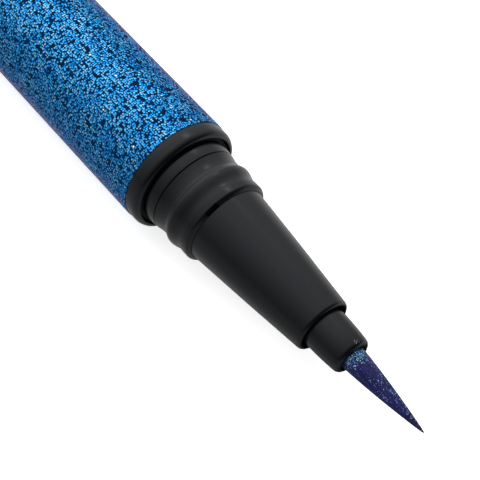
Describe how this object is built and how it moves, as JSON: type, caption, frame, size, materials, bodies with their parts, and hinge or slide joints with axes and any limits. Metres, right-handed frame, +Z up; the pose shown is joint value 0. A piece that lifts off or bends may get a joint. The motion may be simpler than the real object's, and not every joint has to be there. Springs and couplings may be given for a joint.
{
  "type": "glitter eyeliner pen",
  "caption": "Brush-tip liquid glitter eyeliner pen lying on its side, with a glitter-covered barrel, a stepped black neck and cone, and its pull-off cap in line ahead of the tip.",
  "frame": {"origin": "centre of the bounding box's bottom face, on the surface that the pen and the cap lie on", "axes": "+X along the pen from its tail to its brush and on through the cap, +Z up, +Y to the left when looking along +X"},
  "size_m": [0.175, 0.0104, 0.0104],
  "materials": {
    "glitter_film": "dense bright blue glitter dots on near-black navy, under a clear gloss coat",
    "black_plastic": "satin moulded black",
    "black_rubber": "soft dark rubber",
    "wet_brush_fibre": "nylon filaments wet with dark blue glitter liner",
    "white_plastic": "natural moulded plastic",
    "wick_fibre": "bonded fibre",
    "clear_plastic": "clear moulded plastic",
    "steel": "polished stainless steel"
  },
  "bodies": {
    "pen": {"glitter_sleeve": "glitter_film", "barrel": "black_plastic", "neck_ring": "black_rubber", "front_section": "black_plastic", "ferrule": "black_plastic", "brush": "wet_brush_fibre", "brush_retainer": "white_plastic", "feed_rod": "wick_fibre", "feed_comb": "white_plastic", "front_seal_ring": "black_rubber", "feed_seal_ring": "black_rubber", "ink_tank": "clear_plastic", "tail_plug": "black_plastic", "tail_seal_ring": "black_rubber"},
    "cap": {"cap_shell": "black_plastic", "cap_sleeve": "glitter_film", "cap_liner": "white_plastic", "cap_seal_ring": "black_rubber", "cap_end_plug": "black_plastic"},
    "ball": {"agitator_ball": "steel"}
  },
  "joints": [
    {"name": "cap_slide", "type": "slide", "parent": "pen", "child": "cap", "axis": [-1, 0, 0], "range_m": [0, 0.04065]},
    {"name": "ball_slide", "type": "slide", "parent": "pen", "child": "ball", "axis": [1, 0, 0], "range_m": [0, 0.04535]}
  ]
}
